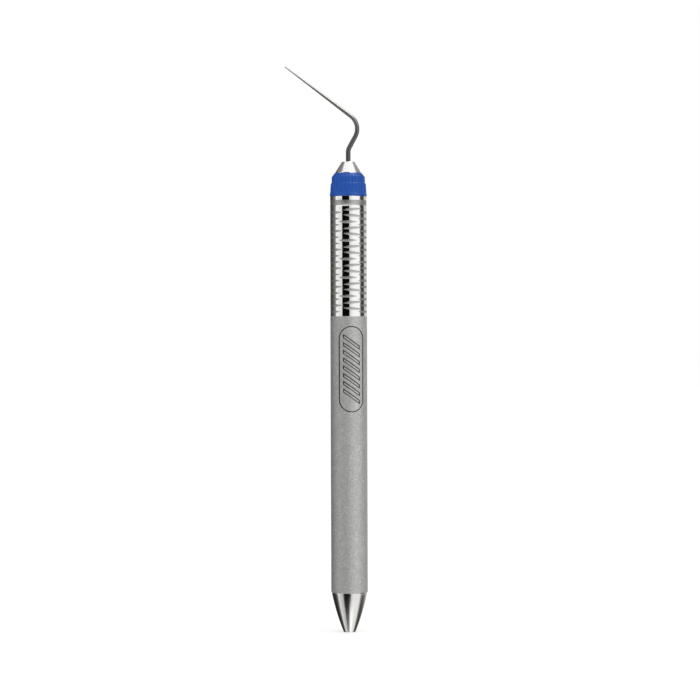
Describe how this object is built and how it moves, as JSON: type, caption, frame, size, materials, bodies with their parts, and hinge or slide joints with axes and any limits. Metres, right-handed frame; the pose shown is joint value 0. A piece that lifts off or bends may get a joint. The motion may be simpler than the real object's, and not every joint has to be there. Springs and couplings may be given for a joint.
{
  "type": "dental probe",
  "caption": "Slender dental hand instrument with a round steel handle, satin grip, rows of fine cuts at the front, blue colour ring and a bent, tapered, smooth pointed working end.",
  "frame": {"origin": "centre of the small flat at the tail of the handle, on the handle's axis", "axes": "+Z along the handle from the tail to the working end; the working end bends in the XZ plane, towards -X; the engraved panel faces -Y"},
  "size_m": [0.0212, 0.0096, 0.1467],
  "materials": {
    "satin_steel": "bead-blasted satin on the grip, polished at the front",
    "polished_steel": "turned and polished stainless steel",
    "hardened_steel": "fine satin, ground along the taper",
    "blue_silicone": "moulded, slightly glossy"
  },
  "bodies": {
    "root": {"end_cone": "polished_steel", "handle_tube": "satin_steel", "colour_ring": "blue_silicone", "nose_cone": "polished_steel", "working_end": "hardened_steel"}
  },
  "joints": []
}
